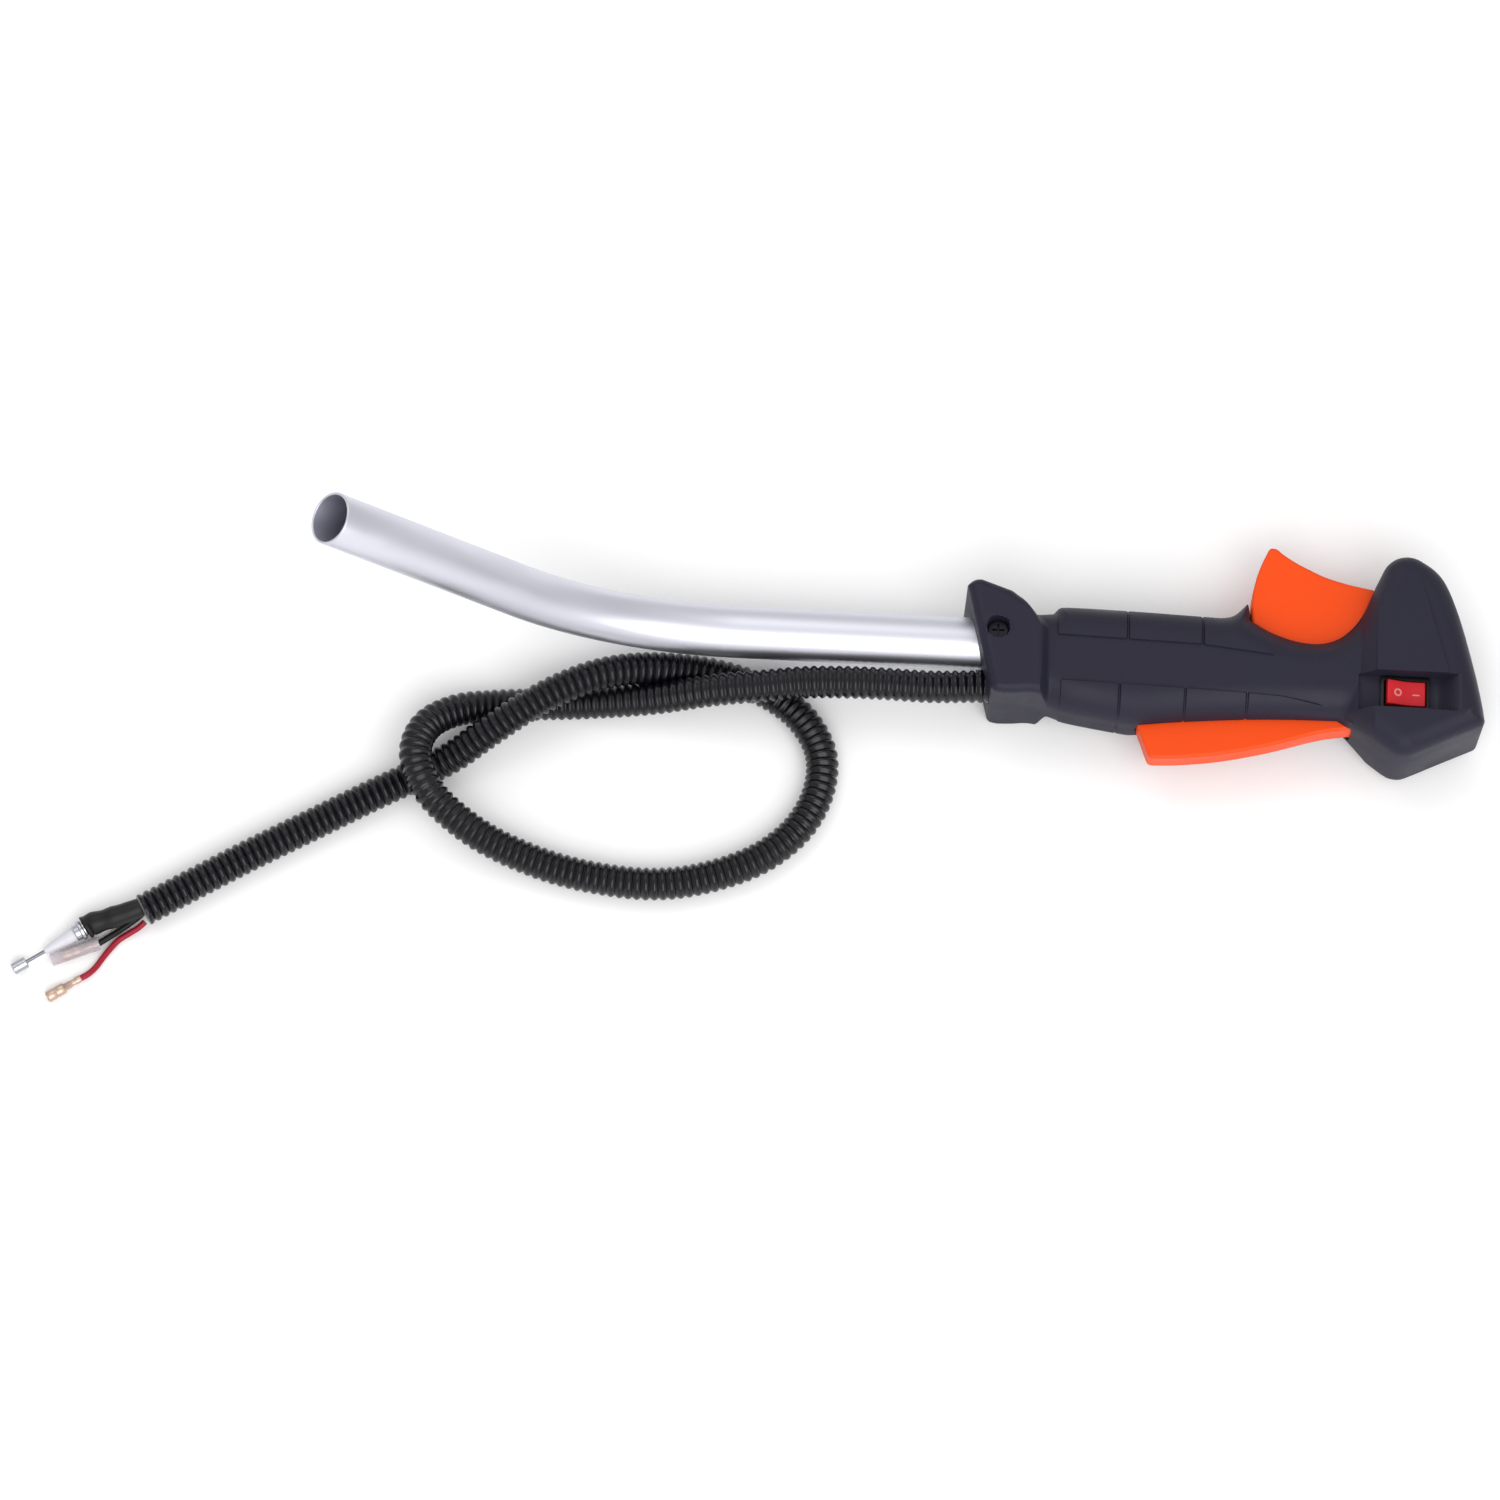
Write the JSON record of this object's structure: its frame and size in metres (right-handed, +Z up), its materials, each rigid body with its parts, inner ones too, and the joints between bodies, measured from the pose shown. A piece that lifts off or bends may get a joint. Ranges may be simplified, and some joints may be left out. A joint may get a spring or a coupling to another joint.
{
  "type": "engine tool throttle handle",
  "caption": "Moulded grip on a bent alloy tube with throttle trigger, safety lever, rocker stop switch and a knotted corrugated conduit ending in cable and wire ends.",
  "frame": {"origin": "on the resting surface, on the axis of the screw that locks the tube in the collar", "axes": "+X along the tube's straight part towards the head, +Y towards the trigger's side, +Z up from the resting surface"},
  "size_m": [0.6116, 0.2172, 0.1497],
  "materials": {
    "shell_plastic": "fine moulded texture, slate black",
    "orange_plastic": "smooth moulded",
    "tube_alloy": "satin, silver anodised",
    "zinc_steel": "zinc plated",
    "spring_steel": "drawn wire",
    "switch_black": "fine satin",
    "rocker_red": "smooth moulded",
    "brass": "plain",
    "conduit_black": "corrugated nylon",
    "cable_black": "smooth sheath",
    "wire_red": "smooth insulation",
    "nose_plastic": "pale nylon",
    "clear_vinyl": "clear soft sleeve"
  },
  "bodies": {
    "handle": {"near_shell": "shell_plastic", "far_shell": "shell_plastic", "handlebar_tube": "tube_alloy", "tube_lock_screw": "zinc_steel", "tube_lock_nut": "zinc_steel", "shell_screws": "zinc_steel", "trigger_pivot_pin": "zinc_steel", "trigger_return_spring": "spring_steel", "lever_pivot_pin": "zinc_steel", "lever_return_spring": "spring_steel", "switch_housing": "switch_black", "switch_terminals": "brass", "switch_wire_red": "wire_red", "switch_wire_black": "cable_black", "throttle_cable_sheath": "cable_black", "cable_stop_ferrule": "zinc_steel", "corrugated_conduit": "conduit_black", "cable_boot": "cable_black", "cable_end_ferrule": "zinc_steel", "cable_nose": "nose_plastic", "red_wire": "wire_red", "red_wire_bullet": "brass", "black_wire": "cable_black", "clear_sleeve": "clear_vinyl", "black_wire_bullet": "brass"},
    "trigger": {"throttle_trigger": "orange_plastic"},
    "lever": {"safety_lever": "orange_plastic"},
    "rocker": {"rocker_button": "rocker_red"},
    "inner_cable": {"throttle_inner_wire": "zinc_steel", "barrel_nipple": "zinc_steel"},
    "far_cable_end": {"far_inner_wire": "zinc_steel", "far_nipple": "zinc_steel"}
  },
  "joints": [
    {"name": "trigger_pull", "type": "hinge", "parent": "handle", "child": "trigger", "pos_m": [0.164, 0.019, 0.024], "axis": [0, 0, 1], "range_deg": [0, 15], "stiffness_Nm_per_rad": 0.8, "springref_deg": -20.05, "deforming": ["trigger_return_spring"]},
    {"name": "lever_squeeze", "type": "hinge", "parent": "handle", "child": "lever", "pos_m": [0.154, -0.026, 0.024], "axis": [0, 0, -1], "range_deg": [0, 9], "stiffness_Nm_per_rad": 0.5, "springref_deg": -17.19, "deforming": ["lever_return_spring"]},
    {"name": "rocker_tilt", "type": "hinge", "parent": "handle", "child": "rocker", "pos_m": [0.1715, -0.019, 0.0408], "axis": [0, -1, 0], "range_deg": [0, 20]},
    {"name": "cable_pull", "type": "slide", "parent": "handle", "child": "inner_cable", "axis": [1, 0, 0], "range_m": [0, 0.008]},
    {"name": "far_cable_pull", "type": "slide", "parent": "handle", "child": "far_cable_end", "axis": [0.8361, 0.5441, 0.07], "range_m": [0, 0.008]}
  ],
  "couplings": [
    {"joint": "cable_pull", "follows": "trigger_pull", "m_per_rad": 0.029914},
    {"joint": "far_cable_pull", "follows": "trigger_pull", "m_per_rad": 0.029914}
  ]
}
